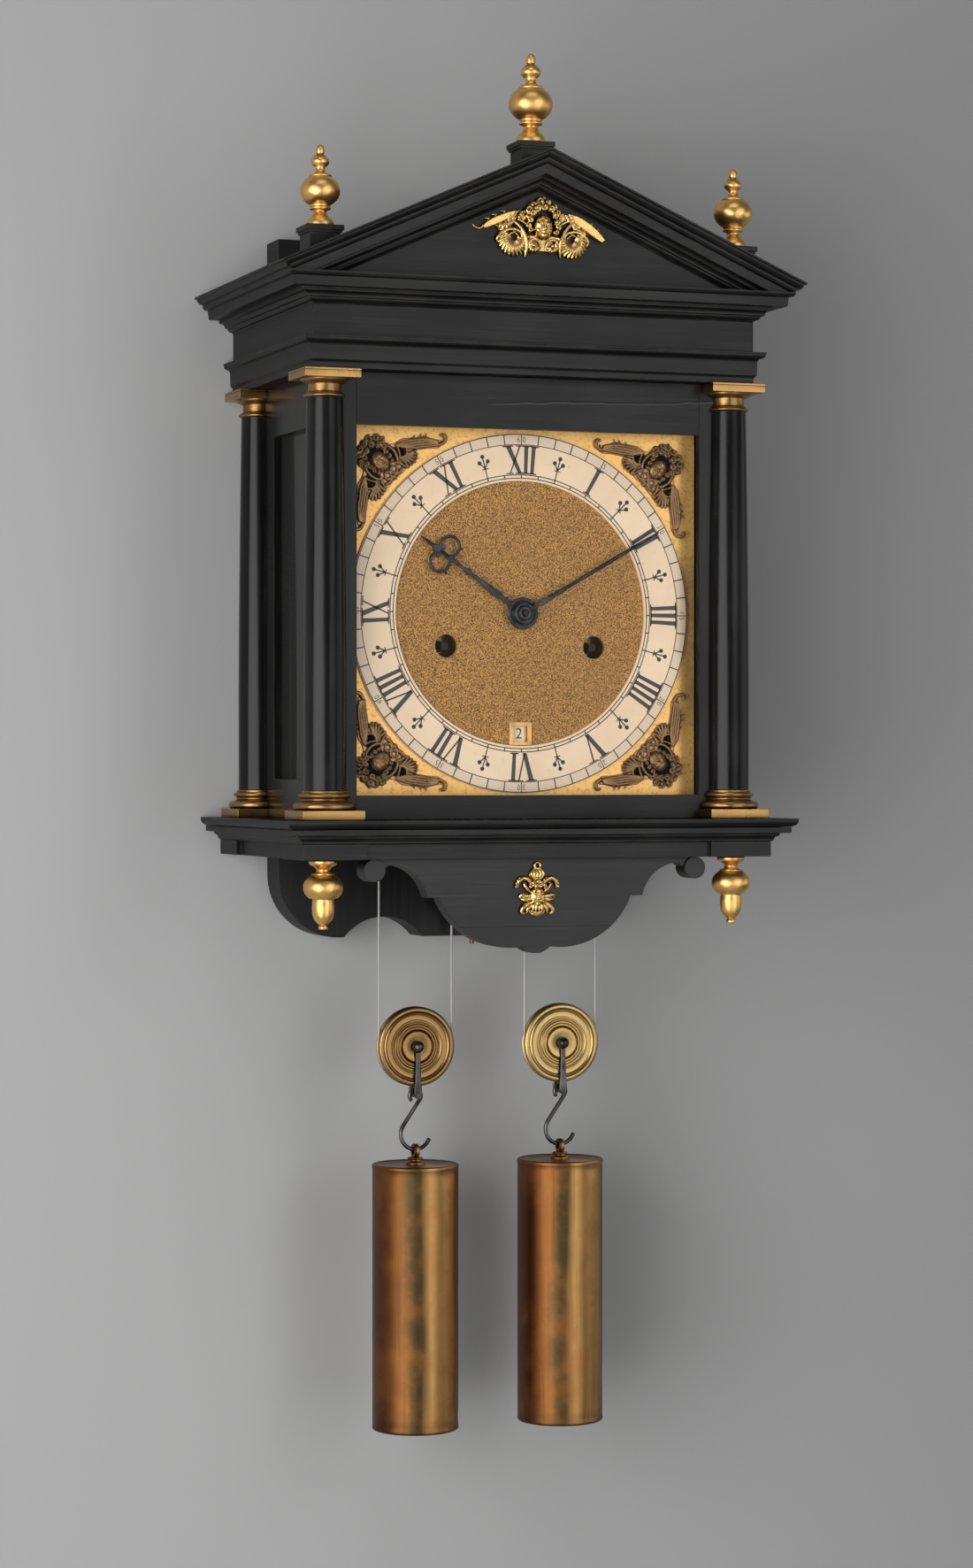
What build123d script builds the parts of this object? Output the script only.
from build123d import *
import math
import os

# Hooded wall clock with calendar. Millimetres, +Z up, the wall is the plane Y = 0 and the dial looks along -Y.
# Origin: centre of the hanging hole, on the wall.

# Gaps
GAP = 0.3                  # between pieces that slide or swing past each other
RUN = 0.2                  # round an arbor in its hole

# Hanging
DIAL_DROP = 236.0          # hanging hole down to the dial's centre
HANG_HOLE_R = 5.5
HOOP_R = 13.0
HOOP_T = 3.0
HOOP_STRAP = 62.0          # strap below the hanging hole
HOOP_STRAP_W = 18.0
SCREW_R = 2.0

# Hood carcase, door and base
CASE_HALF = 122.0          # half the width over the hood's sides
CASE_DEPTH = 150.0         # wall to the door's front
SIDE_T = 9.7
DOOR_T = 18.5
OPENING = 208.0            # square opening round the dial
TOP_RAIL = 29.4
BOTTOM_RAIL = 13.4
GLASS_T = 2.0
REBATE = 3.4
SIGHT_EDGE = 3.8           # door front to the glass
SILL_H = 4.8
BASE_H = 8.1
BLOCK_H = 8.7
WALL_GAP = 0.5             # hood's back to the wall
BOARD_T = 24.0
BOARD_ABOVE_DIAL = 224.0
FOOT_BELOW_DIAL = 189.5
WINDOW_REAR = 48.0         # wall to the side window's rear edge
WINDOW_FRONT = 112.0
WINDOW_BELOW_DIAL = 95.0
WINDOW_ABOVE_DIAL = 104.5

# Entablature and pediment, as projections from the carcase
FRIEZE_P = 11.2
ARCHITRAVE_H = 18.3
FRIEZE_H = 17.2
CORNICE_H = 16.1
CORNICE_P = 29.9
CROWN_P = 34.8
CROWN_H = 4.9
APEX_ABOVE_DIAL = 259.2
RAKING_T = 19.6            # raking cornice, square to its slope
HEADER_T = 12.0
ROOF_T = 6.5

# Columns
PLINTH = 36.0
PLINTH_H = 5.2
ABACUS = 32.6
ABACUS_H = 5.1
SHAFT_R_LOW = 12.0
SHAFT_R_TOP = 10.3
BASE_TURNING_H = 11.0
CAPITAL_TURNING_H = 10.4
COLUMN_X = CASE_HALF + 0.6
FRONT_COLUMN_Y = -(CASE_DEPTH - 0.4)
REAR_COLUMN_Y = -18.6

# Finials and drops
FINIAL_H = 45.8
APEX_FINIAL_H = 51.2
FINIAL_X = 125.4
FINIAL_Y = -150.0
MOUNT_X = 2.5              # pediment mount, a little right of the centre
MOUNT_RISE = 33.4
MOUNT_REACH = 42.0
FINIAL_CAP = 21.6
FINIAL_CAP_H = 4.2
FINIAL_CAP_RISE = 9.2      # roof slope up to the top of a side plinth's cap
APEX_CAP_RISE = 7.4
DROP_X = 123.9
DROP_Y = -150.7
DROP_H = 39.2

# Dial
DIAL = 216.0
DIAL_T = 2.3
RING_R = 103.0
RING_BORE_R = 76.0
RING_T = 1.5
DIAL_GAP = 15.2            # door front to the chapter ring's face
HANDS_HOLE_R = 5.0
WINDING_X = 45.2
WINDING_DROP = 19.0
WINDING_HOLE_R = 6.65
DATE_DROP = 69.0
DATE_W = 8.4
DATE_H = 9.0
CALENDAR_R = 78.0
CALENDAR_BORE_R = 60.0
CALENDAR_T = 1.0
SPANDREL_T = 2.2
SPANDREL_X = 83.0          # dial's centre to a corner mount's, across and up
SPANDREL_REACH = 29.0
MINUTE_HAND = 96.0
HOUR_HAND = 75.0
HAND_T = 1.0
MINUTE_ANGLE = 60.0        # clockwise from the top
HOUR_ANGLE = 305.0

# Movement
FRONT_PLATE_GAP = 15.3     # dial face to the front plate's face
PLATE_T = 2.5
PLATE_SPAN = 49.5          # between the plates
PLATE_HALF = 93.0
PLATE_BELOW_DIAL = 78.0
PLATE_ABOVE_DIAL = 72.0
PILLAR_R = 4.0
SEAT_T = 10.0
CHEEK_T = 10.0
CHEEK_GAP = 10.3           # hood's side to the cheek
WHEEL_T = 1.2
GREAT_WHEEL_T = 2.0
BARREL_ARBOR_R = 4.0
ESCAPE_R = 17.0
PINION_L = 4.0
ANCHOR_ABOVE_DIAL = 58.3
BELL_R = 34.0
BELL_H = 26.0
BELL_WALL = 2.0
PENDULUM_LENGTH = 225.3
PENDULUM_Y = -50.0
BOB_R = 17.0
ROD_R = 1.3
BOB_T = 9.0

# Teeth
GREAT_TEETH = 96
CENTRE_LEAVES = 8
CENTRE_TEETH = 72
THIRD_LEAVES = 8
THIRD_TEETH = 70
ESCAPE_LEAVES = 7
ESCAPE_TEETH = 42
CENTRE_MODULE = 0.6
THIRD_MODULE = 0.52
MOTION_TEETH = 36
MOTION_MODULE = 0.6
MINUTE_LEAVES = 6
HOUR_TEETH = 72
PIN_LEAVES = 8
PIN_TEETH = 60
FLY_LEAVES = 6
PIN_MODULE = 0.7
CALENDAR_TEETH = 62
STRIKE_PINS = 8

# Weights, pulleys and lines
WEIGHT_R = 25.4
WEIGHT_H = 155.0
LINE_D = 1.2
LINE_Y = -79.5
BARREL_LINE_R = 22.7       # line's centre on the barrel
PULLEY_LINE_R = 22.4       # line's centre in the pulley's groove
PULLEY_R = 23.3
PULLEY_T = 8.0
PULLEY_BELOW_DIAL = 251.0
STIRRUP_W = 3.6
STIRRUP_T = 1.6
AXLE_R = 1.9
HOOK_PIN_BELOW_PULLEY = 28.1
HOOK_PIN_R = 1.2
HOOK_WIRE_R = 1.2
HOOK_TOP_R = 3.5
HOOK_LOW_R = 9.0
HOOK_SPAN = 22.2           # centre of the top curl down to the centre of the low curl
EYE_R = 4.2
EYE_BORE_R = 2.4
EYE_T = 3.0

# Heights and depths that follow
DIAL_Z = -DIAL_DROP
DOOR_FRONT = -CASE_DEPTH
DOOR_BACK = DOOR_FRONT + DOOR_T
SIDE_FRONT = DOOR_BACK + GAP
HOOD_BACK = -WALL_GAP
SIDE_IN = CASE_HALF - SIDE_T
BOARD_HALF = SIDE_IN - GAP
CHEEK_X = SIDE_IN - CHEEK_GAP - CHEEK_T
BOARD_FRONT = -BOARD_T
OPEN_HALF = OPENING / 2
DOOR_LOW = DIAL_Z - OPEN_HALF - BOTTOM_RAIL
DOOR_TOP = DIAL_Z + OPEN_HALF + TOP_RAIL
SILL_TOP = DOOR_LOW - GAP
SILL_LOW = SILL_TOP - SILL_H
BASE_TOP = SILL_LOW - GAP
BASE_LOW = BASE_TOP - BASE_H
BLOCK_LOW = BASE_LOW - BLOCK_H
BOARD_TOP = DIAL_Z + BOARD_ABOVE_DIAL
FOOT_LOW = DIAL_Z - FOOT_BELOW_DIAL
ARCHITRAVE_LOW = DOOR_TOP + GAP
FRIEZE_LOW = ARCHITRAVE_LOW + ARCHITRAVE_H
CORNICE_LOW = FRIEZE_LOW + FRIEZE_H
CORNICE_TOP = CORNICE_LOW + CORNICE_H
APEX_Z = DIAL_Z + APEX_ABOVE_DIAL
SLOPE = (APEX_Z - CORNICE_TOP - CROWN_H) / (CASE_HALF + CROWN_P)
SLOPE_ANGLE = math.degrees(math.atan(SLOPE))
RING_FACE = DOOR_FRONT + DIAL_GAP
DIAL_FACE = RING_FACE + RING_T
DIAL_BACK = DIAL_FACE + DIAL_T
PLATE_FACE = DIAL_FACE + FRONT_PLATE_GAP
PLATE_IN = PLATE_FACE + PLATE_T
BACK_PLATE_IN = PLATE_IN + PLATE_SPAN
BACK_PLATE_OUT = BACK_PLATE_IN + PLATE_T
PLATE_LOW = DIAL_Z - PLATE_BELOW_DIAL
PLATE_TOP = DIAL_Z + PLATE_ABOVE_DIAL
ANCHOR_Z = DIAL_Z + ANCHOR_ABOVE_DIAL
PULLEY_Z = DIAL_Z - PULLEY_BELOW_DIAL
HOOK_PIN_Z = PULLEY_Z - HOOK_PIN_BELOW_PULLEY
HOOK_TOP_Z = HOOK_PIN_Z - 0.8
HOOK_LOW_Z = HOOK_TOP_Z - HOOK_SPAN
HOOK_FOOT_Z = HOOK_LOW_Z - HOOK_LOW_R
EYE_Z = HOOK_FOOT_Z - (EYE_BORE_R - HOOK_WIRE_R - GAP)
COLLAR_H = 3.0
WEIGHT_TOP = EYE_Z - EYE_R - COLLAR_H

# Depths of the wheels, each the wheel's front face
STRIKE_GREAT_Y = PLATE_IN + 3.0
GOING_GREAT_Y = PLATE_IN + 7.5
CENTRE_WHEEL_Y = PLATE_IN + 15.5
THIRD_WHEEL_Y = PLATE_IN + 25.5
ESCAPE_WHEEL_Y = PLATE_IN + 35.5
PIN_WHEEL_Y = PLATE_IN + 20.5
CANNON_WHEEL_Y = PLATE_FACE - 3.5
HOUR_WHEEL_Y = PLATE_FACE - 7.5
CALENDAR_Y = DIAL_BACK + GAP
DRUM_FRONT = PLATE_IN + 11.5
DRUM_BACK = BACK_PLATE_IN - 6.0
HOUR_HAND_Y = RING_FACE - 2.8
MINUTE_HAND_Y = HOUR_HAND_Y - 2.6


def run_x(side):
    """Where the line leaves a barrel, on the barrel's left."""
    return side * WINDING_X - BARREL_LINE_R


def pulley_x(side):
    """Centre of the pulley that hangs in the loop of a line."""
    return run_x(side) + PULLEY_LINE_R


def block(x0, x1, y0, y1, z0, z1):
    """Box between two corners."""
    middle = Pos((x0 + x1) / 2, (y0 + y1) / 2, (z0 + z1) / 2)
    return middle * Box(abs(x1 - x0), abs(y1 - y0), abs(z1 - z0))


def rod(radius, y0, y1, x, z):
    """Cylinder whose axis runs front to back."""
    return Pos(x, (y0 + y1) / 2, z) * Rot(90, 0, 0) * Cylinder(radius, abs(y1 - y0))


def outline(*steps):
    """Closed face through points. A step that holds two points is an arc's middle and its end."""
    edges = []
    here = steps[0]
    for step in steps[1:]:
        if isinstance(step[0], tuple):
            edges.append(ThreePointArc(here, step[0], step[1]))
            here = step[1]
        else:
            edges.append(Line(here, step))
            here = step
    if math.dist(here, steps[0]) > 0.001:
        edges.append(Line(here, steps[0]))
    return make_face(edges)


def front_face(face, y0, y1):
    """Extrude a face drawn as seen from the front, X across and Z up, between two depths."""
    drawn_on = Plane(origin=(0, max(y0, y1), 0), x_dir=(1, 0, 0), z_dir=(0, -1, 0))
    return extrude(drawn_on * face, amount=abs(y1 - y0))


def mirrored(points):
    """Right half of a symmetrical outline, followed by its mirror image."""
    whole = list(points)
    here = points[-1] if not isinstance(points[-1][0], tuple) else points[-1][1]
    ends = [p if not isinstance(p[0], tuple) else p[1] for p in points]
    for index in range(len(points) - 1, 0, -1):
        target = (-ends[index - 1][0], ends[index - 1][1])
        if index == len(points) - 1 and abs(here[0]) > 1e-6:
            whole.append((-here[0], here[1]))
        if isinstance(points[index][0], tuple):
            middle = points[index][0]
            whole.append(((-middle[0], middle[1]), target))
        else:
            whole.append(target)
    return whole


def turned(points, x, y, z):
    """Solid of revolution about a vertical axis. Points are (radius, height) from the base up."""
    whole = [(0, points[0][1])] + list(points) + [(0, points[-1][1])]
    face = Plane.XZ * make_face(Polyline(*whole, close=True))
    return Pos(x, y, z) * revolve(face, Axis.Z)


def front_turned(points, x, z):
    """Solid of revolution about an axis that runs front to back. Points are (radius, Y)."""
    whole = [(0, points[0][1])] + list(points) + [(0, points[-1][1])]
    face = Plane.XY * make_face(Polyline(*whole, close=True))
    return Pos(x, 0, z) * revolve(face, Axis.Y)


def pair(make):
    """The same piece made on the right and on the left."""
    return [make(1), make(-1)]


def front_zone():
    """Space in front of the mitres at the two front corners."""
    reach = 60.0
    near = (CASE_HALF - reach, DOOR_FRONT + reach)
    far = (CASE_HALF + reach, DOOR_FRONT - reach)
    face = make_face(Polyline(near, far, (-far[0], far[1]), (-near[0], near[1]), close=True))
    return Pos(0, 0, -500) * extrude(face, amount=700)


def side_zone(side):
    """Space beside the mitre at one front corner, back to the hood's rear."""
    reach = 60.0
    near = (side * (CASE_HALF - reach), DOOR_FRONT + reach)
    far = (side * (CASE_HALF + reach), DOOR_FRONT - reach)
    face = make_face(Polyline(near, far, (far[0], HOOD_BACK), (near[0], HOOD_BACK), close=True))
    return Pos(0, 0, -500) * extrude(face, amount=700, dir=(0, 0, 1))


def mitred(profile, z):
    """Front and side lengths of a moulding. The profile is drawn as (projection from the carcase, height)."""
    length = 2 * (CASE_HALF + 60)
    across = Plane(origin=(-length / 2, DOOR_FRONT, z), x_dir=(0, -1, 0), z_dir=(-1, 0, 0))
    front = extrude(across * profile, amount=-length)
    lengths = [front & front_zone()]
    for side in (1, -1):
        back = Plane(origin=(side * CASE_HALF, HOOD_BACK, z), x_dir=(side, 0, 0), z_dir=(0, -side, 0))
        run = extrude(back * profile, amount=side * (CASE_DEPTH + 60))
        lengths.append(run & side_zone(side))
    return lengths


def polygon_prism(count, radius, y0, y1, x, z, turn=0.0):
    """Prism with a regular polygon for its section, its axis front to back."""
    points = []
    for index in range(count):
        angle = turn + 2 * math.pi * index / count
        points.append((x + radius * math.cos(angle), z + radius * math.sin(angle)))
    return front_face(make_face(Polyline(*points, close=True)), y0, y1)


def toothed(teeth, module, y, thick, centre, turn, bore, rake=0.0):
    """Wheel or pinion with straight-sided teeth and an eight-sided bore, so that all its faces are flat."""
    x, z = centre
    pitch_r = teeth * module / 2
    step = 2 * math.pi / teeth
    tooth = ((-0.23, -1.15), (-0.10 + rake, 0.85), (0.10 + rake, 0.85), (0.23, -1.15))
    points = []
    for index in range(teeth):
        for share, height in tooth:
            angle = turn + (index + share) * step
            radius = pitch_r + height * module
            points.append((x + radius * math.cos(angle), z + radius * math.sin(angle)))
    blank = front_face(make_face(Polyline(*points, close=True)), y, y + thick)
    return blank - polygon_prism(8, bore, y, y + thick, x, z)


def crossed(wheel, spokes, inner, outer, y, thick, centre):
    """Cut openings between the spokes of a wheel."""
    x, z = centre
    for index in range(spokes):
        points = []
        middle = 2 * math.pi * (index + 0.5) / spokes
        half_in = math.pi / spokes - 1.6 / inner
        half_out = math.pi / spokes - 1.6 / outer
        for radius, half in ((inner, half_in), (outer, half_out)):
            turns = (-1, 0, 1) if radius == inner else (1, 0.5, 0, -0.5, -1)
            for share in turns:
                angle = middle + share * half
                points.append((x + radius * math.cos(angle), z + radius * math.sin(angle)))
        window = front_face(make_face(Polyline(*points, close=True)), y, y + thick)
        wheel = wheel - window
    return wheel


def meshing(turn, teeth, other_teeth, centre, other_centre):
    """Turn of the second wheel whose gap faces the first wheel's tooth."""
    towards = math.atan2(other_centre[1] - centre[1], other_centre[0] - centre[0])
    return towards + math.pi - (turn - towards) * teeth / other_teeth + math.pi / other_teeth


def arbor(centre, radius, y0, y1, pivot_r, collets=()):
    """Arbor between the plates, with a pivot in each plate and eight-sided collets for its wheels."""
    x, z = centre
    body = rod(radius, y0, y1, x, z)
    body += rod(pivot_r, PLATE_FACE - 0.5, y0, x, z)
    body += rod(pivot_r, y1, BACK_PLATE_OUT + 0.5, x, z)
    for front, back, size in collets:
        body += polygon_prism(8, size, front, back, x, z)
    return body


def third_point(a, b, from_a, from_b, side):
    """Point at two given distances from two others, to the left or right of the line between them."""
    dx, dz = b[0] - a[0], b[1] - a[1]
    span = math.hypot(dx, dz)
    along = (from_a ** 2 - from_b ** 2 + span ** 2) / (2 * span)
    off = side * math.sqrt(from_a ** 2 - along ** 2)
    return (a[0] + (dx * along - dz * off) / span, a[1] + (dz * along + dx * off) / span)


def mesh_distance(teeth, other_teeth, module):
    """Distance between the centres of two wheels in mesh."""
    return (teeth + other_teeth) * module / 2


# Centres of the arbors, as (X, Z)
CENTRE = (0.0, DIAL_Z)
GOING = (WINDING_X, DIAL_Z - WINDING_DROP)
STRIKE = (-WINDING_X, DIAL_Z - WINDING_DROP)
GREAT_MODULE = 2 * math.hypot(WINDING_X, WINDING_DROP) / (GREAT_TEETH + CENTRE_LEAVES)
ESCAPE = (0.0, ANCHOR_Z - 21.0)
THIRD = third_point(
    CENTRE,
    ESCAPE,
    mesh_distance(CENTRE_TEETH, THIRD_LEAVES, CENTRE_MODULE),
    mesh_distance(THIRD_TEETH, ESCAPE_LEAVES, THIRD_MODULE),
    1,
)
MINUTE = (0.0, DIAL_Z - mesh_distance(MOTION_TEETH, MOTION_TEETH, MOTION_MODULE))
MINUTE_MODULE = 2 * (DIAL_Z - MINUTE[1]) / (MINUTE_LEAVES + HOUR_TEETH)
PIN_REACH = mesh_distance(GREAT_TEETH, PIN_LEAVES, GREAT_MODULE)
PIN = (STRIKE[0] + PIN_REACH * math.cos(math.radians(100)), STRIKE[1] + PIN_REACH * math.sin(math.radians(100)))
FLY_REACH = mesh_distance(PIN_TEETH, FLY_LEAVES, PIN_MODULE)
FLY = (PIN[0] + FLY_REACH * math.cos(math.radians(80)), PIN[1] + FLY_REACH * math.sin(math.radians(80)))
HAMMER = (PIN[0] - 26.3, PIN[1] + 10.7)

nodes = {}


def keep(name, *shapes):
    """Keep the solids of one named piece, or of one group of like pieces."""
    nodes[name] = [solid for shape in shapes for solid in shape.solids()]


def backboard():
    """Board against the wall with a scrolled foot, let in behind for the hanging hoop."""
    foot = FOOT_LOW
    right = [
        (BOARD_HALF, BOARD_TOP),
        (BOARD_HALF, foot + 38),
        ((BOARD_HALF - 10.8, foot + 11), (BOARD_HALF - 38, foot)),
        (71.5, foot),
        ((48, foot + 12), (22, foot)),
    ]
    board = front_face(outline(*mirrored(right)), BOARD_FRONT, 0)
    board -= hoop_outline(-HOOP_T, 0, 0.0)
    for z in screw_heights():
        board -= rod(SCREW_R, -HOOP_T - 12, -HOOP_T, 0, z)
    keep("backboard", board)


def hoop_outline(y0, y1, bore):
    """Round hoop with a strap below it."""
    hoop = rod(HOOP_R, y0, y1, 0, 0)
    hoop += block(-HOOP_STRAP_W / 2, HOOP_STRAP_W / 2, y0, y1, -HOOP_STRAP, 0)
    if bore:
        hoop -= rod(bore, y0, y1, 0, 0)
    return hoop


def screw_heights():
    """Two screws in the strap."""
    return (BOARD_TOP - 12, -HOOP_STRAP + 8)


def hanging_hoop():
    """Iron hoop and the two screws that hold it, flush with the back."""
    hoop = hoop_outline(-HOOP_T, 0, HANG_HOLE_R)
    screws = []
    for z in screw_heights():
        hoop -= rod(SCREW_R, -HOOP_T, 0, 0, z)
        screws.append(rod(SCREW_R, -HOOP_T - 12, 0, 0, z))
    keep("hanging_hoop", hoop, *screws)


def base():
    """Moulded base frame round the backboard, with an inner frame that leaves room for lines and pendulum."""
    inward = BOARD_HALF - CASE_HALF
    low, high = 0.0, BASE_H
    profile = outline(
        (inward, low), (19.1, low), (20.4, 0.5), ((20.9, 2.2), (22.7, 3.1)), (23.1, 4.6),
        (28.1, 5.0), (28.1, high), (inward, high),
    )
    lengths = mitred(profile, BASE_LOW)
    front_in = DOOR_FRONT - inward
    rail = 26.0
    rails = [
        block(side * (BOARD_HALF - rail), side * BOARD_HALF, front_in, BOARD_FRONT, BASE_LOW, BASE_TOP)
        for side in (1, -1)
    ]
    inner = BOARD_HALF - rail
    rails.append(block(-inner, inner, front_in, front_in + 14, BASE_LOW, BASE_TOP))
    rails.append(block(-inner, inner, BOARD_FRONT - 6, BOARD_FRONT, BASE_LOW, BASE_TOP))
    keep("base_frame", *lengths, *rails)


def base_blocks():
    """Corner blocks under the base, with set-back rails between them."""
    out_x, out_y = CASE_HALF + 19.1, DOOR_FRONT - 19.1
    wide, deep, inset = 37.5, 37.9, 3.0
    blocks = []
    for side in (1, -1):
        blocks.append(block(side * (out_x - wide), side * out_x, out_y, out_y + deep, BLOCK_LOW, BASE_LOW))
        blocks.append(block(side * BOARD_HALF, side * out_x, -35, HOOD_BACK, BLOCK_LOW, BASE_LOW))
        rail_out = out_x - inset
        blocks.append(block(side * (rail_out - 16), side * rail_out, out_y + deep, -35, BLOCK_LOW, BASE_LOW))
    rail_front = out_y + inset
    inner = out_x - wide
    blocks.append(block(-inner, inner, rail_front, rail_front + 19, BLOCK_LOW, BASE_LOW))
    keep("base_blocks", *blocks)


def drop(side):
    """Turned drop under a front corner block."""
    stem = turned(
        [
            (2.4, 0), (2.4, 2.2), (2.0, 3.2), (4.0, 5.0), (5.9, 8.6), (5.9, 13.0), (5.2, 15.2), (5.2, 17.0),
            (5.0, 30.0), (3.9, 31.4), (3.9, 33.4), (6.5, 36.2), (8.0, 37.4), (8.0, DROP_H),
        ],
        side * DROP_X, DROP_Y, BLOCK_LOW - DROP_H,
    )
    return stem + Pos(side * DROP_X, DROP_Y, BLOCK_LOW - DROP_H + 22.8) * Sphere(11.0)


def apron():
    """Scrolled apron under the front rail, with a turned boss at each end."""
    top = BLOCK_LOW
    boss_x, boss_r, boss_z = 97.0, 6.3, BLOCK_LOW - 6.3
    right = [
        (boss_x, top),
        (boss_x, boss_z - boss_r + 2.5),
        (88.0, top - 3.4),
        ((70.6, top - 10.8), (65.0, top - 21.9)),
        (57.8, top - 21.9),
        ((42.2, top - 42.0), (8.6, top - 50.2)),
        ((6.2, top - 52.0), (3.6, top - 53.4)),
        ((1.8, top - 53.9), (0.0, top - 53.9)),
    ]
    front, thick = DOOR_FRONT - 9.0, 12.0
    board = front_face(outline(*mirrored(right)), front, front + thick)
    bosses = []
    for side in (1, -1):
        board -= rod(boss_r, front, front + thick, side * boss_x, boss_z)
        bosses.append(rod(boss_r, front - 2, front + thick, side * boss_x, boss_z))
    keep("apron", board, *bosses)
    return front


def apron_mask(front):
    """Gilt mask on the apron: a bearded grotesque head in low relief, in outline."""
    top = BLOCK_LOW - 1.2
    right = [
        (0, top), (4.5, top - 1), ((6.5, top - 4), (6.0, top - 7)), (12.6, top - 5.5),
        ((13.4, top - 11), (8.6, top - 13.5)), (9.6, top - 19),
        ((8.2, top - 26), (3.5, top - 30)), (0, top - 32),
    ]
    plate = front_face(outline(*mirrored(right)), front - 2.6, front)
    head = Pos(0, front - 2.6, top - 16) * scale(Sphere(1), (5.6, 4.0, 8.2))
    keep("apron_mask", plate + head - block(-20, 20, front, front + 10, top - 40, top))


def seat_board():
    """Board that carries the movement, on two cheeks that stand on the base."""
    low = PLATE_LOW - SEAT_T
    front, back = PLATE_FACE - 2, BACK_PLATE_OUT + 3
    board = block(-CHEEK_X - CHEEK_T, CHEEK_X + CHEEK_T, front, back, low, PLATE_LOW)
    for side in (1, -1):
        board -= Pos(run_x(side), LINE_Y, low + SEAT_T / 2) * Cylinder(3.5, SEAT_T)
    cheeks = [
        block(side * CHEEK_X, side * (CHEEK_X + CHEEK_T), front, back, BASE_TOP, low)
        for side in (1, -1)
    ]
    keep("seat_board", board, *cheeks)


def pivot_holes(plate, y0, y1):
    """Drill a plate for the pivots of the arbors."""
    holes = [
        (THIRD, 0.8), (ESCAPE, 0.8), (PIN, 1.0), (FLY, 0.8), (HAMMER, 1.0),
    ]
    for centre, pivot_r in holes:
        plate -= rod(pivot_r + RUN, y0, y1, *centre)
    return plate


def plates():
    """Front and back plates with their pillars, and the small bridge for the minute wheel."""
    front = block(-PLATE_HALF, PLATE_HALF, PLATE_FACE, PLATE_IN, PLATE_LOW, PLATE_TOP)
    front = pivot_holes(front, PLATE_FACE, PLATE_IN)
    front -= rod(1.6 + RUN, PLATE_FACE, PLATE_IN, *CENTRE)
    front -= rod(0.8 + RUN, PLATE_FACE, PLATE_IN, *MINUTE)
    front -= rod(0.8 + RUN, PLATE_FACE, PLATE_IN, 0, ANCHOR_Z)
    back = block(-PLATE_HALF, PLATE_HALF, BACK_PLATE_IN, BACK_PLATE_OUT, PLATE_LOW, PLATE_TOP)
    back = pivot_holes(back, BACK_PLATE_IN, BACK_PLATE_OUT)
    back -= rod(1.0 + RUN, BACK_PLATE_IN, BACK_PLATE_OUT, *CENTRE)
    back -= rod(1.2 + 4 * RUN, BACK_PLATE_IN, BACK_PLATE_OUT, 0, ANCHOR_Z)
    for centre in (GOING, STRIKE):
        front -= rod(3.2 + RUN, PLATE_FACE, PLATE_IN, *centre)
        back -= rod(2.0 + RUN, BACK_PLATE_IN, BACK_PLATE_OUT, *centre)
    keep("front_plate", front, minute_bridge())
    keep("back_plate", back)
    pillar_places = [(PLATE_HALF - 7, PLATE_LOW + 8), (PLATE_HALF - 7, PLATE_TOP - 8)]
    pillars = [
        rod(PILLAR_R, PLATE_IN, BACK_PLATE_IN, side * x, z) for x, z in pillar_places for side in (1, -1)
    ]
    pillars.append(rod(PILLAR_R, PLATE_IN, BACK_PLATE_IN, 0, PLATE_LOW + 8))
    keep("plate_pillars", *pillars)


def minute_bridge():
    """Bridge in front of the front plate for the minute wheel's front pivot."""
    foot_z = MINUTE[1] - 17
    face = HOUR_WHEEL_Y - 3.0
    bridge = block(-3, 3, face, PLATE_FACE, foot_z - 5, foot_z)
    bridge += block(-3, 3, face, face + 1.3, foot_z, MINUTE[1] + 3)
    return bridge - rod(0.8 + RUN, face, face + 1.3, *MINUTE)


def dial_plate():
    """Square dial plate with its feet, winding holes, date aperture and the studs that guide the calendar."""
    half = DIAL / 2
    plate = block(-half, half, DIAL_FACE, DIAL_BACK, DIAL_Z - half, DIAL_Z + half)
    plate -= rod(HANDS_HOLE_R, DIAL_FACE, DIAL_BACK, *CENTRE)
    for centre in (GOING, STRIKE):
        plate -= rod(WINDING_HOLE_R, DIAL_FACE, DIAL_BACK, *centre)
    date_z = DIAL_Z - DATE_DROP
    plate -= block(-DATE_W / 2, DATE_W / 2, DIAL_FACE, DIAL_BACK, date_z - DATE_H / 2, date_z + DATE_H / 2)
    feet = []
    for side in (1, -1):
        for z in (DIAL_Z - 64, DIAL_Z + 62):
            feet.append(rod(2.5, DIAL_BACK, PLATE_FACE, side * (PLATE_HALF - 6), z))
    studs = []
    for angle in (50, 130, 230, 310):
        x = (CALENDAR_R + GAP + 2.0) * math.cos(math.radians(angle))
        z = DIAL_Z + (CALENDAR_R + GAP + 2.0) * math.sin(math.radians(angle))
        stud = rod(2.0, DIAL_BACK, CALENDAR_Y + CALENDAR_T + GAP + 1, x, z)
        stud += rod(3.6, CALENDAR_Y + CALENDAR_T + GAP, CALENDAR_Y + CALENDAR_T + GAP + 1, x, z)
        studs.append(stud)
    keep("dial_plate", plate, *feet, *studs)


def chapter_ring():
    """Flat ring that carries the hours and minutes."""
    ring = rod(RING_R, RING_FACE, DIAL_FACE, *CENTRE)
    keep("chapter_ring", ring - rod(RING_BORE_R, RING_FACE, DIAL_FACE, *CENTRE))


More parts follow.
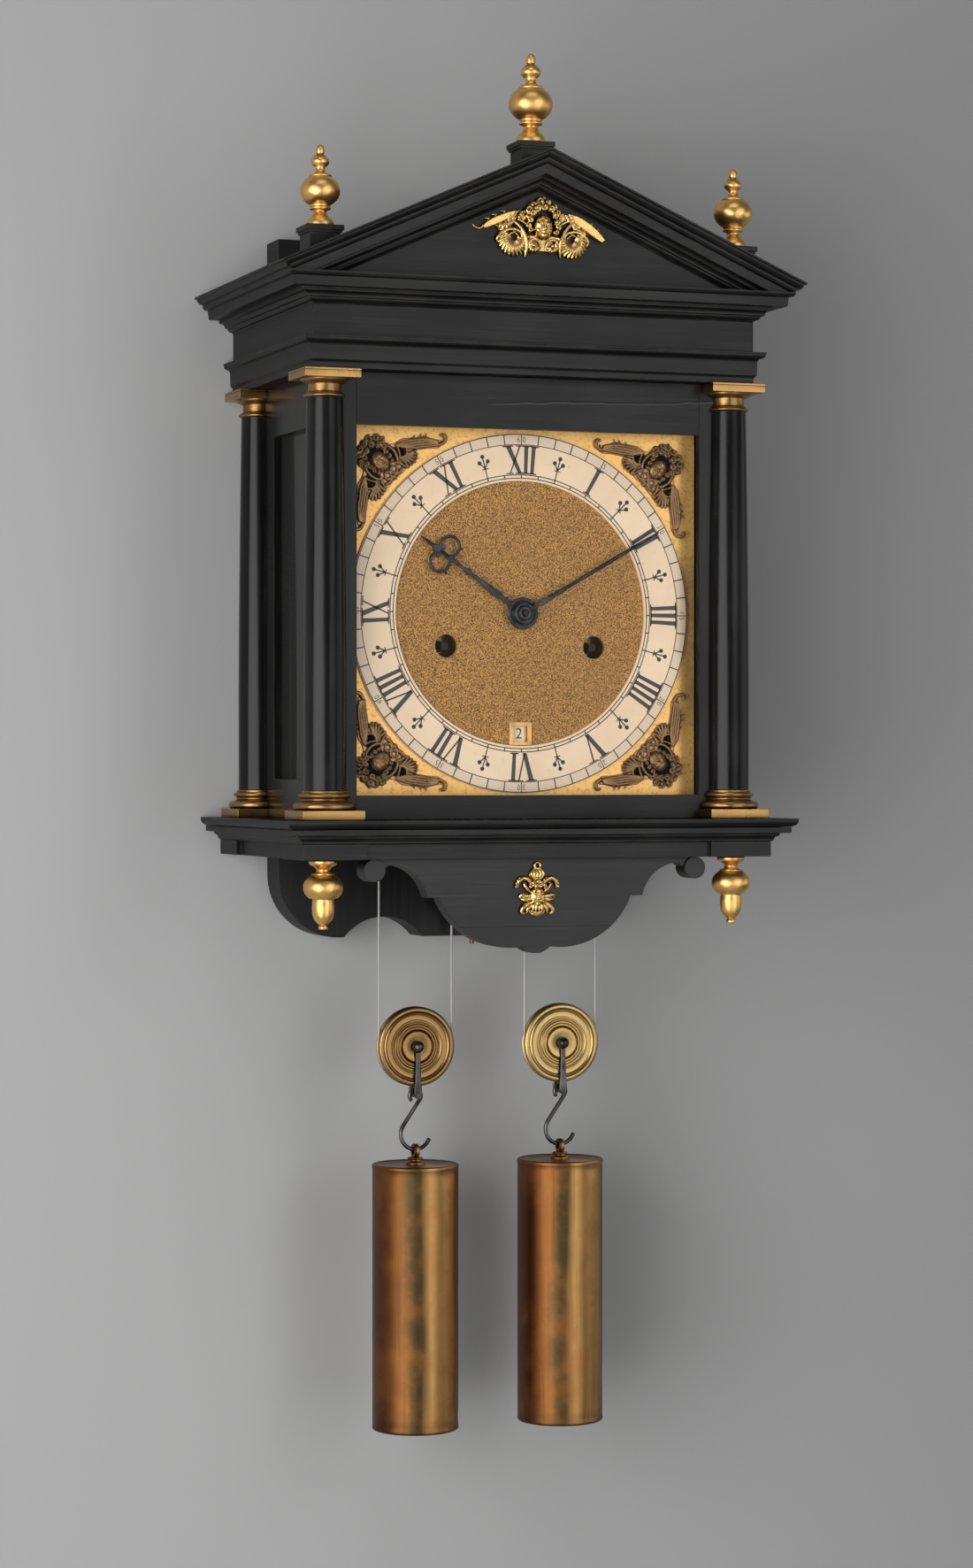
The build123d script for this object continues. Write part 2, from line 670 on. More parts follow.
def winged_head(x, z, reach, turn, front, back):
    """Cast mount in outline: a head between two spread wings."""
    wing = outline(
        (0, -0.38 * reach), ((0.42 * reach, -0.36 * reach), (0.72 * reach, -0.26 * reach)),
        (1.0 * reach, -0.14 * reach), ((0.66 * reach, 0.04 * reach), (0.22 * reach, 0.20 * reach)),
        (0, 0.26 * reach),
    )
    whole = wing + mirror(wing, about=Plane.YZ)
    placed = Pos(x, z) * (Rot(0, 0, turn) * whole)
    mount = front_face(placed, front, back)
    head = Pos(x, front, z) * scale(Sphere(1), (0.17 * reach, 0.7 * abs(back - front), 0.20 * reach))
    return mount + (head & block(x - reach, x + reach, front - reach, back, z - reach, z + reach))


def spandrels():
    """Winged head in each corner of the dial, outside the chapter ring."""
    mounts = []
    for across in (1, -1):
        for up in (1, -1):
            x, z = across * SPANDREL_X, DIAL_Z + up * SPANDREL_X
            turn = -across * up * 45 if up > 0 else 180 + across * 45
            mount = winged_head(x, z, SPANDREL_REACH, turn, DIAL_FACE - SPANDREL_T, DIAL_FACE)
            limit = OPEN_HALF - GAP
            mount &= block(-limit, limit, RING_FACE - 3, DIAL_FACE, DIAL_Z - limit, DIAL_Z + limit)
            mounts.append(mount - rod(RING_R, RING_FACE - 3, DIAL_FACE, *CENTRE))
    keep("spandrels", *mounts)


def pendulum_cock():
    """Bracket behind the back plate for the anchor's rear pivot and the pendulum's spring."""
    arm_low, arm_top = ANCHOR_Z + 7.7, ANCHOR_Z + 11.7
    cock = block(-14, 14, BACK_PLATE_OUT, BACK_PLATE_OUT + 2, arm_low - 2, arm_top + 2)
    cock += block(-5, 5, BACK_PLATE_OUT, PENDULUM_Y + 4, arm_low, arm_top)
    lug_front = BACK_PLATE_OUT + 6.5
    cock += block(-4, 4, lug_front, lug_front + 1.8, ANCHOR_Z - 4, arm_low)
    cock -= rod(0.8 + RUN, lug_front, lug_front + 1.8, 0, ANCHOR_Z)
    for side in (1, -1):
        cock += block(-4, 4, PENDULUM_Y + side * (0.3 + GAP), PENDULUM_Y + side * 2, ANCHOR_Z + 1.7, arm_low)
    keep("pendulum_cock", cock)


def bell():
    """Bell on a post that stands on a strap across the plates."""
    y = (PLATE_FACE + BACK_PLATE_OUT) / 2
    mouth = PLATE_TOP + 12
    strap = block(-6, 6, PLATE_FACE, BACK_PLATE_OUT, PLATE_TOP, PLATE_TOP + 3)
    post_r = 2.5
    top = mouth + BELL_H
    post = strap + Pos(0, y, (PLATE_TOP + 3 + top) / 2) * Cylinder(post_r, top - PLATE_TOP - 3)
    post += Pos(0, y, top + 2) * Cylinder(5, 4)
    arc_mid = (0.80 * BELL_R, 0.72 * BELL_H)
    wall = BELL_WALL
    section = outline(
        (BELL_R, 0), (arc_mid, (post_r + 3, BELL_H)), (post_r, BELL_H), (post_r, BELL_H - wall),
        (post_r + 3, BELL_H - wall), ((arc_mid[0] - wall, arc_mid[1] - wall), (BELL_R - wall, 0)),
    )
    shell = Pos(0, y, mouth) * revolve(Plane.XZ * section, Axis.Z)
    keep("bell", post, shell)
    return y, mouth


def hood_frame():
    """Header board up to the roof, and the sill mouldings on which the hood slides."""
    inward = -SIDE_T
    profile = outline(
        (inward, 0), (28.1, 0), (28.9, 0.5), ((30.4, 1.4), (31.2, 3.0)), (31.4, SILL_H), (inward, SILL_H),
    )
    edge = APEX_Z - ROOF_T - SLOPE * SIDE_IN
    gable = outline(
        (-SIDE_IN, ARCHITRAVE_LOW), (SIDE_IN, ARCHITRAVE_LOW), (SIDE_IN, edge), (0, APEX_Z - ROOF_T),
        (-SIDE_IN, edge),
    )
    header = front_face(gable, DOOR_FRONT, DOOR_FRONT + HEADER_T)
    keep("hood_frame", header, *mitred(profile, SILL_LOW))


def hood_side(side):
    """Side of the hood with its window opening and the rebate for the glass."""
    top = APEX_Z - ROOF_T - SLOPE * CASE_HALF
    profile = outline(
        (HOOD_BACK, SILL_TOP), (SIDE_FRONT, SILL_TOP), (SIDE_FRONT, ARCHITRAVE_LOW),
        (DOOR_FRONT, ARCHITRAVE_LOW), (DOOR_FRONT, top), (HOOD_BACK, top),
    )
    board = extrude(Plane.YZ * profile, amount=SIDE_T)
    board = Pos(SIDE_IN if side > 0 else -CASE_HALF, 0, 0) * board
    low, high = DIAL_Z - WINDOW_BELOW_DIAL, DIAL_Z + WINDOW_ABOVE_DIAL
    board -= block(side * SIDE_IN, side * CASE_HALF, -WINDOW_FRONT, -WINDOW_REAR, low, high)
    board -= window_space(side, side * SIDE_IN, REBATE)
    return board


def window_space(side, inner_x, grow):
    """Space of the side window, from a given depth out to the rebate's shoulder."""
    shoulder = side * (SIDE_IN + SIDE_T / 2)
    low, high = DIAL_Z - WINDOW_BELOW_DIAL - grow, DIAL_Z + WINDOW_ABOVE_DIAL + grow
    return block(inner_x, shoulder, -WINDOW_FRONT - grow, -WINDOW_REAR + grow, low, high)


def side_window(side):
    """Glass of a side window against its shoulder."""
    shoulder = SIDE_IN + SIDE_T / 2
    return window_space(side, side * (shoulder - GLASS_T), REBATE - GAP)


def architrave():
    """Moulding over the columns."""
    high = ARCHITRAVE_H
    profile = outline(
        (0, 0), (11.2, 0), (11.6, 3.2), (12.9, 4.7), (13.1, 12.3), ((13.9, 13.7), (15.2, 14.3)),
        ((16.6, 15.2), (16.9, 16.6)), (17.2, 16.8), (17.2, 17.7), (FRIEZE_P, high), (0, high),
    )
    keep("architrave", *mitred(profile, ARCHITRAVE_LOW))


def frieze():
    """Plain boards between architrave and cornice."""
    profile = outline((0, 0), (FRIEZE_P, 0), (FRIEZE_P, FRIEZE_H), (0, FRIEZE_H))
    keep("frieze", *mitred(profile, FRIEZE_LOW))


def cornice():
    """Level cornice: bed mouldings under a flat corona."""
    high = CORNICE_H
    profile = outline(
        (0, 0), (FRIEZE_P, 0), (11.9, 1.0), ((13.8, 1.5), (14.7, 3.2)), (16.4, 3.4), ((16.9, 5.2), (18.9, 5.9)),
        (19.8, 6.2), (19.8, 8.1), (26.2, 8.1), (26.8, 13.2), (29.2, 13.8), (CORNICE_P, 15.0), (CORNICE_P, high),
        (0, high),
    )
    keep("cornice", *mitred(profile, CORNICE_LOW))


def slope_space(below):
    """Everything under the roof's slope, lowered by a given amount."""
    reach = CASE_HALF + 60
    face = outline(
        (-reach, -600), (reach, -600), (reach, APEX_Z - below - SLOPE * reach), (0, APEX_Z - below),
        (-reach, APEX_Z - below - SLOPE * reach),
    )
    return front_face(face, -300, 100)


def raking_length(side):
    """Raking cornice on one side of the pediment, square-cut at the apex and let down on the level cornice."""
    thick = RAKING_T
    profile = outline(
        (0, -thick), (FRIEZE_P, -thick), (11.9, 1.0 - thick), ((13.8, 1.5 - thick), (14.7, 3.1 - thick)),
        (16.4, 3.3 - thick), ((16.9, 4.9 - thick), (18.9, 5.6 - thick)), (19.8, 5.9 - thick),
        (19.8, 7.4 - thick),
        (26.2, 7.4 - thick), (26.8, -7.3), (29.2, -6.7), (CORNICE_P, -5.6), (CORNICE_P, -4.4),
        ((32.6, -3.2), (33.4, -1.4)), (CROWN_P, -1.0), (CROWN_P, 0), (0, 0),
    )
    down = Vector(side * math.cos(math.radians(SLOPE_ANGLE)), 0, -math.sin(math.radians(SLOPE_ANGLE)))
    start = Vector(0, DOOR_FRONT, APEX_Z) - down * 40
    frame = Plane(origin=start, x_dir=(0, -1, 0), z_dir=down * -side)
    run = extrude(frame * profile, amount=-side * 290)
    run &= front_zone()
    run &= block(0, side * 250, -300, 0, CORNICE_TOP, 100)
    return run


def raking_return(side):
    """Crown moulding that carries the pediment's top edge back to the wall along one side."""
    top = CROWN_H + SLOPE * CROWN_P
    profile = outline(
        (0, 0), (CORNICE_P, 0), (CORNICE_P, 0.7), ((32.6, 1.7), (33.4, 3.4)), (CROWN_P, 3.8),
        (CROWN_P, CROWN_H), (0, top),
    )
    return mitred(profile, CORNICE_TOP)[1 if side > 0 else 2]


def finial_plinth(x, rise):
    """Square block with a moulded cap that stands on the roof's slope."""
    top = APEX_Z - SLOPE * abs(x) + rise
    half, body, neck = FINIAL_CAP / 2, FINIAL_CAP / 2 - 1.8, FINIAL_CAP / 2 - 0.9
    cap_low = top - FINIAL_CAP_H
    plinth = block(x - body, x + body, FINIAL_Y - body, FINIAL_Y + body, top - 40, cap_low)
    plinth += block(x - half, x + half, FINIAL_Y - half, FINIAL_Y + half, cap_low + 1.4, top)
    plinth += block(x - neck, x + neck, FINIAL_Y - neck, FINIAL_Y + neck, cap_low, cap_low + 1.4)
    return plinth - slope_space(0)


def finial_places():
    """Finials as (X, rise of the plinth's cap, height of the finial)."""
    return [(0.0, APEX_CAP_RISE, APEX_FINIAL_H)] + [
        (side * FINIAL_X, FINIAL_CAP_RISE, FINIAL_H) for side in (1, -1)
    ]


def pediment():
    """Raking cornice, tympanum and roof boards."""
    plinths = [finial_plinth(x, rise) for x, rise, _ in finial_places()]
    lengths = pair(raking_length) + pair(raking_return)
    keep("raking_cornice", *lengths, *plinths)
    drop_down = RAKING_T / math.cos(math.radians(SLOPE_ANGLE))
    inner = (APEX_Z - drop_down - CORNICE_TOP) / SLOPE
    board = outline((-inner, CORNICE_TOP), (inner, CORNICE_TOP), (0, APEX_Z - drop_down))
    keep("tympanum", front_face(board, DOOR_FRONT - FRIEZE_P, DOOR_FRONT))
    boards = []
    for side in (1, -1):
        edge = SLOPE * CASE_HALF
        face = outline(
            (0, APEX_Z), (side * CASE_HALF, APEX_Z - edge), (side * CASE_HALF, APEX_Z - edge - ROOF_T),
            (0, APEX_Z - ROOF_T),
        )
        boards.append(front_face(face, DOOR_FRONT, BOARD_FRONT - GAP))
    keep("roof_boards", *boards)


def finial(x, rise, height):
    """Turned finial: foot, large ball, collar, small ball and acorn tip."""
    size = height / FINIAL_H
    base_z = APEX_Z - SLOPE * abs(x) + rise
    profile = [
        (7.4, 0), (7.4, 3.0), (6.9, 4.0), (4.2, 6.6), (3.6, 8.0), (4.4, 10.2), (6.1, 27.8), (6.1, 28.8),
        (4.6, 29.0), (2.9, 31.0), (2.6, 32.6), (2.8, 34.0), (2.4, 38.6), (1.9, 40.2), (2.5, 41.4), (2.3, 43.4),
        (0.6, 45.8),
    ]
    stem = turned([(r * size, h * size) for r, h in profile], x, FINIAL_Y, base_z)
    stem += Pos(x, FINIAL_Y, base_z + 20.0 * size) * Sphere(11.3 * size)
    return stem + Pos(x, FINIAL_Y, base_z + 35.8 * size) * Sphere(5.3 * size)


def column_shaft(x, y, low, high):
    """Tapered column shaft between its base and capital."""
    foot = low + PLINTH_H + BASE_TURNING_H
    head = high - ABACUS_H - CAPITAL_TURNING_H
    return turned([(SHAFT_R_LOW, 0), (SHAFT_R_LOW, (head - foot) / 3), (SHAFT_R_TOP, head - foot)], x, y, foot)


def column_base(x, y, low):
    """Square plinth under two torus mouldings."""
    half = PLINTH / 2
    base_piece = block(x - half, x + half, y - half, y + half, low, low + PLINTH_H)
    rings = [
        (17.0, 0), (17.6, 2.1), (17.0, 4.2), (14.2, 4.6), (13.2, 6.4), (13.6, 6.9), (14.4, 7.1), (15.0, 8.2),
        (14.4, 9.3), (12.9, 9.5), (12.7, BASE_TURNING_H),
    ]
    return base_piece + turned(rings, x, y, low + PLINTH_H)


def column_capital(x, y, high):
    """Square abacus over an ovolo, neck and astragal."""
    half = ABACUS / 2
    piece = block(x - half, x + half, y - half, y + half, high - ABACUS_H, high)
    rings = [
        (10.5, 0), (11.6, 0.6), (11.8, 1.5), (11.2, 2.3), (10.2, 2.6), (9.4, 3.4), (9.3, 7.6), (10.4, 8.0),
        (12.6, 9.2), (13.6, CAPITAL_TURNING_H),
    ]
    return piece + turned(rings, x, y, high - ABACUS_H - CAPITAL_TURNING_H)


def rear_columns():
    """Half columns against the hood's sides at the back, each with its capital and base."""
    inside = block(-CASE_HALF, CASE_HALF, -200, 50, -500, 100)
    wall = block(-200, 200, HOOD_BACK, 50, -500, 100)
    pieces = []
    for side in (1, -1):
        x = side * COLUMN_X
        whole = [
            column_shaft(x, REAR_COLUMN_Y, SILL_TOP, ARCHITRAVE_LOW),
            column_base(x, REAR_COLUMN_Y, SILL_TOP),
            column_capital(x, REAR_COLUMN_Y, ARCHITRAVE_LOW),
        ]
        pieces += [piece - inside - wall for piece in whole]
    keep("rear_columns", *pieces)


def door():
    """Door: stiles and rails, glass, pivots, and the front columns that swing with it."""
    seat = DOOR_FRONT + SIGHT_EDGE
    glass_half = OPEN_HALF + REBATE
    dial_half = DIAL / 2 + 1.6
    recess = block(-glass_half, glass_half, seat, 0, DIAL_Z - glass_half, DIAL_Z + glass_half)
    recess += block(-dial_half, dial_half, RING_FACE - 3.6, 0, DIAL_Z - dial_half, DIAL_Z + dial_half)
    members = []
    for side in (1, -1):
        members.append(block(side * OPEN_HALF, side * CASE_HALF, DOOR_FRONT, DOOR_BACK, DOOR_LOW, DOOR_TOP))
    members.append(block(-OPEN_HALF, OPEN_HALF, DOOR_FRONT, DOOR_BACK, DIAL_Z + OPEN_HALF, DOOR_TOP))
    members.append(block(-OPEN_HALF, OPEN_HALF, DOOR_FRONT, DOOR_BACK, DOOR_LOW, DIAL_Z - OPEN_HALF))
    keep("door_frame", *[member - recess for member in members])
    pane = glass_half - GAP
    keep("door_glass", block(-pane, pane, seat, seat + GLASS_T, DIAL_Z - pane, DIAL_Z + pane))
    behind = block(-CASE_HALF, CASE_HALF, DOOR_FRONT, 50, -500, 100)
    pivot_x, pivot_y, pivot_r = door_pivot()
    low_pin = Pos(pivot_x, pivot_y, DOOR_LOW) * Cylinder(pivot_r, 7.0)
    top_pin = Pos(pivot_x, pivot_y, DOOR_TOP) * Cylinder(pivot_r, 7.0)
    bases, capitals, shafts = [], [], []
    for side in (1, -1):
        x = side * COLUMN_X
        shafts.append(column_shaft(x, FRONT_COLUMN_Y, DOOR_LOW, DOOR_TOP) - behind)
        bases.append(column_base(x, FRONT_COLUMN_Y, DOOR_LOW) - behind - low_pin)
        capitals.append(column_capital(x, FRONT_COLUMN_Y, DOOR_TOP) - behind - top_pin)
    keep("column_shafts", *shafts)
    keep("column_mounts", *bases, *capitals)
    keep("door_pivots", low_pin, top_pin)


def door_pivot():
    """Place and radius of the door's pivots, in the right-hand base and capital."""
    return (COLUMN_X + 8.4, DOOR_BACK - 6.0, 1.5)


def pivot_sockets():
    """Drill the sill and the architrave for the door's pivots."""
    x, y, radius = door_pivot()
    socket_r = radius + RUN
    for name, z in (("hood_frame", DOOR_LOW), ("architrave", DOOR_TOP)):
        socket = Pos(x, y, z) * Cylinder(socket_r, 9.0)
        nodes[name] = [solid for piece in nodes[name] for solid in (piece - socket).solids()]


def hand_outline(points, angle, y):
    """Hand cut from sheet, drawn upright from its centre and turned to its place, clockwise from the top."""
    face = Rot(0, 0, -angle) * outline(*mirrored(points))
    return Pos(0, 0, DIAL_Z) * front_face(face, y, y + HAND_T)


def centre_group():
    """Centre arbor with its pinion, wheel and cannon wheel, and the minute hand on its front end."""
    cannon_r, cannon_low = 2.6, CANNON_WHEEL_Y + 2.4
    size, cannon_size = 2.1, 3.4
    shaft = rod(1.6, cannon_low, BACK_PLATE_IN - 1.5, *CENTRE)
    shaft += rod(1.0, BACK_PLATE_IN - 1.5, BACK_PLATE_OUT + 0.5, *CENTRE)
    shaft += rod(cannon_r, MINUTE_HAND_Y + HAND_T, cannon_low, *CENTRE)
    shaft += rod(1.6, MINUTE_HAND_Y - 2.6, MINUTE_HAND_Y + HAND_T, *CENTRE)
    pinion_y = GOING_GREAT_Y + (GREAT_WHEEL_T - PINION_L) / 2
    shaft += polygon_prism(8, size, pinion_y, pinion_y + PINION_L, *CENTRE)
    shaft += polygon_prism(8, 4.0, CENTRE_WHEEL_Y, CENTRE_WHEEL_Y + WHEEL_T, *CENTRE)
    shaft += polygon_prism(8, cannon_size, CANNON_WHEEL_Y, CANNON_WHEEL_Y + WHEEL_T, *CENTRE)
    pinion = toothed(CENTRE_LEAVES, GREAT_MODULE, pinion_y, PINION_L, CENTRE, 0.0, size)
    wheel = toothed(CENTRE_TEETH, CENTRE_MODULE, CENTRE_WHEEL_Y, WHEEL_T, CENTRE, 0.0, 4.0)
    wheel = crossed(wheel, 4, 7.0, 18.5, CENTRE_WHEEL_Y, WHEEL_T, CENTRE)
    cannon = toothed(MOTION_TEETH, MOTION_MODULE, CANNON_WHEEL_Y, WHEEL_T, CENTRE, 0.0, cannon_size)
    keep("centre_wheel", shaft, pinion, wheel, cannon)
    blade = [
        (4.4, -4.4), ((6.2, 0), (4.4, 4.4)), (1.2, 7.2), (1.9, 8.6), (1.0, 10.0), (1.9, 15.0), (1.0, 20.0),
        (1.9, 25.0), (1.1, 29.0), (1.2, 66.0), (0.35, MINUTE_HAND),
    ]
    hand = hand_outline(blade, MINUTE_ANGLE, MINUTE_HAND_Y)
    hand -= rod(1.6, MINUTE_HAND_Y, MINUTE_HAND_Y + HAND_T, *CENTRE)
    collet = rod(4.1, MINUTE_HAND_Y - 1.4, MINUTE_HAND_Y, *CENTRE)
    collet -= rod(1.6, MINUTE_HAND_Y - 1.4, MINUTE_HAND_Y, *CENTRE)
    keep("minute_hand", hand, collet)


def hour_group():
    """Hour wheel with its pipe round the cannon, and the hour hand."""
    pipe_r, bore_r, size = 4.2, 2.6 + RUN, 5.4
    pipe = rod(pipe_r, HOUR_HAND_Y, HOUR_WHEEL_Y + WHEEL_T, *CENTRE)
    pipe += polygon_prism(8, size, HOUR_WHEEL_Y, HOUR_WHEEL_Y + WHEEL_T, *CENTRE)
    pipe -= rod(bore_r, HOUR_HAND_Y, HOUR_WHEEL_Y + WHEEL_T, *CENTRE)
    turn = meshing(minute_turn(), MINUTE_LEAVES, HOUR_TEETH, MINUTE, CENTRE)
    wheel = toothed(HOUR_TEETH, MINUTE_MODULE, HOUR_WHEEL_Y, WHEEL_T, CENTRE, turn, size)
    keep("hour_wheel", pipe, wheel)
    blade = [
        (6.5, -6.5), ((9.2, 0), (6.5, 6.5)), (1.7, 11.4), (2.6, 13.0), (1.5, 14.6), (2.1, 18.0), (1.2, 38.0),
        (2.1, 41.0), (1.1, 43.0), (1.1, 63.0), (1.6, 65.0), (0.4, HOUR_HAND),
    ]
    hand = hand_outline(blade, HOUR_ANGLE, HOUR_HAND_Y)
    loops = None
    away, up = math.radians(HOUR_ANGLE), 58.0
    loop_r, loop_bore = 6.1, 4.6
    for side in (1, -1):
        across = side * 5.0
        x = across * math.cos(away) + up * math.sin(away)
        z = DIAL_Z - across * math.sin(away) + up * math.cos(away)
        loop = rod(loop_r, HOUR_HAND_Y, HOUR_HAND_Y + HAND_T, x, z)
        loop -= rod(loop_bore, HOUR_HAND_Y, HOUR_HAND_Y + HAND_T, x, z)
        loops = loop if loops is None else loops + loop
    hand += loops
    hand -= rod(pipe_r + 0.05, HOUR_HAND_Y, HOUR_HAND_Y + HAND_T, *CENTRE)
    keep("hour_hand", hand)


def minute_turn():
    """Turn of the minute wheel that puts it in mesh with the cannon wheel."""
    return meshing(0.0, MOTION_TEETH, MOTION_TEETH, CENTRE, MINUTE)


def minute_group():
    """Minute wheel and its pinion in front of the front plate."""
    size, radius = 0.9, 0.8
    back, front = CANNON_WHEEL_Y + WHEEL_T + 0.8, HOUR_WHEEL_Y - 1.2
    shaft = rod(radius, HOUR_WHEEL_Y - 2.5, PLATE_IN, *MINUTE)
    shaft += polygon_prism(8, 2.4, CANNON_WHEEL_Y, back, *MINUTE)
    shaft += polygon_prism(8, size, front, CANNON_WHEEL_Y, *MINUTE)
    wheel = toothed(MOTION_TEETH, MOTION_MODULE, CANNON_WHEEL_Y, WHEEL_T, MINUTE, minute_turn(), 2.4)
    pinion = toothed(MINUTE_LEAVES, MINUTE_MODULE, front, CANNON_WHEEL_Y - front, MINUTE, minute_turn(), size)
    keep("minute_wheel", shaft, wheel, pinion)


def calendar_ring():
    """Date ring behind the dial with teeth round its bore."""
    step = 2 * math.pi / CALENDAR_TEETH
    points = []
    root_r = CALENDAR_BORE_R + 2.4
    for index in range(CALENDAR_TEETH):
        for share, radius in ((0.0, CALENDAR_BORE_R), (0.25, root_r), (0.75, root_r)):
            angle = (index + share) * step
            points.append((radius * math.cos(angle), DIAL_Z + radius * math.sin(angle)))
    hole = front_face(make_face(Polyline(*points, close=True)), CALENDAR_Y, CALENDAR_Y + CALENDAR_T)
    keep("calendar_ring", rod(CALENDAR_R, CALENDAR_Y, CALENDAR_Y + CALENDAR_T, *CENTRE) - hole)


def third_group():
    """Third wheel on its arbor."""
    size = 1.35
    pinion_y = CENTRE_WHEEL_Y + (WHEEL_T - PINION_L) / 2
    pinion_turn = meshing(0.0, CENTRE_TEETH, THIRD_LEAVES, CENTRE, THIRD)
    shaft = arbor(
        THIRD, 1.2, PLATE_IN + 0.4, BACK_PLATE_IN - 0.4, 0.8,
        [(pinion_y, pinion_y + PINION_L, size), (THIRD_WHEEL_Y, THIRD_WHEEL_Y + WHEEL_T, 3.2)],
    )
    pinion = toothed(THIRD_LEAVES, CENTRE_MODULE, pinion_y, PINION_L, THIRD, pinion_turn, size)
    wheel = toothed(THIRD_TEETH, THIRD_MODULE, THIRD_WHEEL_Y, WHEEL_T, THIRD, pinion_turn, 3.2)
    wheel = crossed(wheel, 4, 5.5, 15.2, THIRD_WHEEL_Y, WHEEL_T, THIRD)
    keep("third_wheel", shaft, pinion, wheel)
    return pinion_turn


def escape_group(third_turn):
    """Escape wheel with pointed teeth on its arbor."""
    size = 0.98
    pinion_y = THIRD_WHEEL_Y + (WHEEL_T - PINION_L) / 2
    turn = meshing(third_turn, THIRD_TEETH, ESCAPE_LEAVES, THIRD, ESCAPE)
    shaft = arbor(
        ESCAPE, 0.9, PLATE_IN + 0.4, BACK_PLATE_IN - 0.4, 0.8,
        [(pinion_y, pinion_y + PINION_L, size), (ESCAPE_WHEEL_Y, ESCAPE_WHEEL_Y + WHEEL_T, 2.6)],
    )
    pinion = toothed(ESCAPE_LEAVES, THIRD_MODULE, pinion_y, PINION_L, ESCAPE, turn, size)
    step = 2 * math.pi / ESCAPE_TEETH
    points = []
    for index in range(ESCAPE_TEETH):
        for share, radius in ((0.0, 14.2), (0.62, 14.2), (0.88, ESCAPE_R), (0.98, ESCAPE_R)):
            angle = (index + share) * step
            points.append((ESCAPE[0] + radius * math.cos(angle), ESCAPE[1] + radius * math.sin(angle)))
    wheel = front_face(make_face(Polyline(*points, close=True)), ESCAPE_WHEEL_Y, ESCAPE_WHEEL_Y + WHEEL_T)
    wheel -= polygon_prism(8, 2.6, ESCAPE_WHEEL_Y, ESCAPE_WHEEL_Y + WHEEL_T, *ESCAPE)
    wheel = crossed(wheel, 4, 5.0, 12.0, ESCAPE_WHEEL_Y, WHEEL_T, ESCAPE)
    keep("escape_wheel", shaft, pinion, wheel)


def anchor():
    """Anchor over the escape wheel, with its crutch behind the back plate."""
    y, thick = ESCAPE_WHEEL_Y - 0.4, 2.0
    shaft = rod(1.2, PLATE_IN + 0.4, BACK_PLATE_OUT + 6.2, 0, ANCHOR_Z)
    shaft += rod(0.8, PLATE_FACE - 0.5, PLATE_IN + 0.4, 0, ANCHOR_Z)
    shaft += rod(0.8, BACK_PLATE_OUT + 6.2, BACK_PLATE_OUT + 8.6, 0, ANCHOR_Z)
    reach = (ESCAPE_R + 1.45) * math.sin(math.radians(45))
    tip_z = ESCAPE[1] + reach
    right = [
        (0, ANCHOR_Z + 2.6), (3.0, ANCHOR_Z + 1.6), (reach + 2.4, tip_z + 3.0), (reach + 1.8, tip_z),
        (reach, tip_z), (reach - 0.6, tip_z + 2.4), (2.6, ANCHOR_Z - 2.4), (0, ANCHOR_Z - 2.8),
    ]
    shaft += front_face(outline(*mirrored(right)), y, y + thick)
    crutch_y = BACK_PLATE_OUT + 3.5
    foot = DIAL_Z + 8
    shaft += block(-1.2, 1.2, crutch_y, crutch_y + 1.2, foot, ANCHOR_Z + 2)
    shaft += block(-2.9, 2.9, crutch_y, crutch_y + 1.2, foot, foot + 4)
    for side in (1, -1):
        shaft += block(side * (ROD_R + GAP), side * 2.9, crutch_y, PENDULUM_Y + 2.5, foot, foot + 4)
    keep("pallet_anchor", shaft)


def pendulum():
    """Pendulum: spring strip, rod, lens-shaped bob and rating nut."""
    bob_z = ANCHOR_Z - PENDULUM_LENGTH
    nut_z = bob_z - BOB_R - 3.2
    strip = block(-2, 2, PENDULUM_Y - 0.3, PENDULUM_Y + 0.3, ANCHOR_Z - 8, ANCHOR_Z + 5)
    rod_top, rod_low = ANCHOR_Z - 8, nut_z - 6
    stem = strip + Pos(0, PENDULUM_Y, (rod_top + rod_low) / 2) * Cylinder(ROD_R, rod_top - rod_low)
    lens = front_turned(
        [
            (BOB_R * 0.55, PENDULUM_Y - BOB_T * 0.44), (BOB_R * 0.9, PENDULUM_Y - BOB_T * 0.20),
            (BOB_R, PENDULUM_Y),
            (BOB_R * 0.9, PENDULUM_Y + BOB_T * 0.20), (BOB_R * 0.55, PENDULUM_Y + BOB_T * 0.44),
        ],
        0, bob_z,
    )
    lens -= Pos(0, PENDULUM_Y, bob_z) * Cylinder(ROD_R + 0.05, 3 * BOB_R)
    nut = Pos(0, PENDULUM_Y, nut_z) * (extrude(RegularPolygon(4.0, 6), amount=3.0) - Cylinder(ROD_R + 0.05, 9))
    keep("pendulum", stem, lens, nut)


def great_wheel(name, centre, y, turn):
    """Great wheel, loose on its barrel arbor."""
    bore = (BARREL_ARBOR_R + RUN) / math.cos(math.pi / 8)
    wheel = toothed(GREAT_TEETH, GREAT_MODULE, y, GREAT_WHEEL_T, centre, turn, bore)
    keep(name, crossed(wheel, 6, 11.0, 40.0, y, GREAT_WHEEL_T, centre))


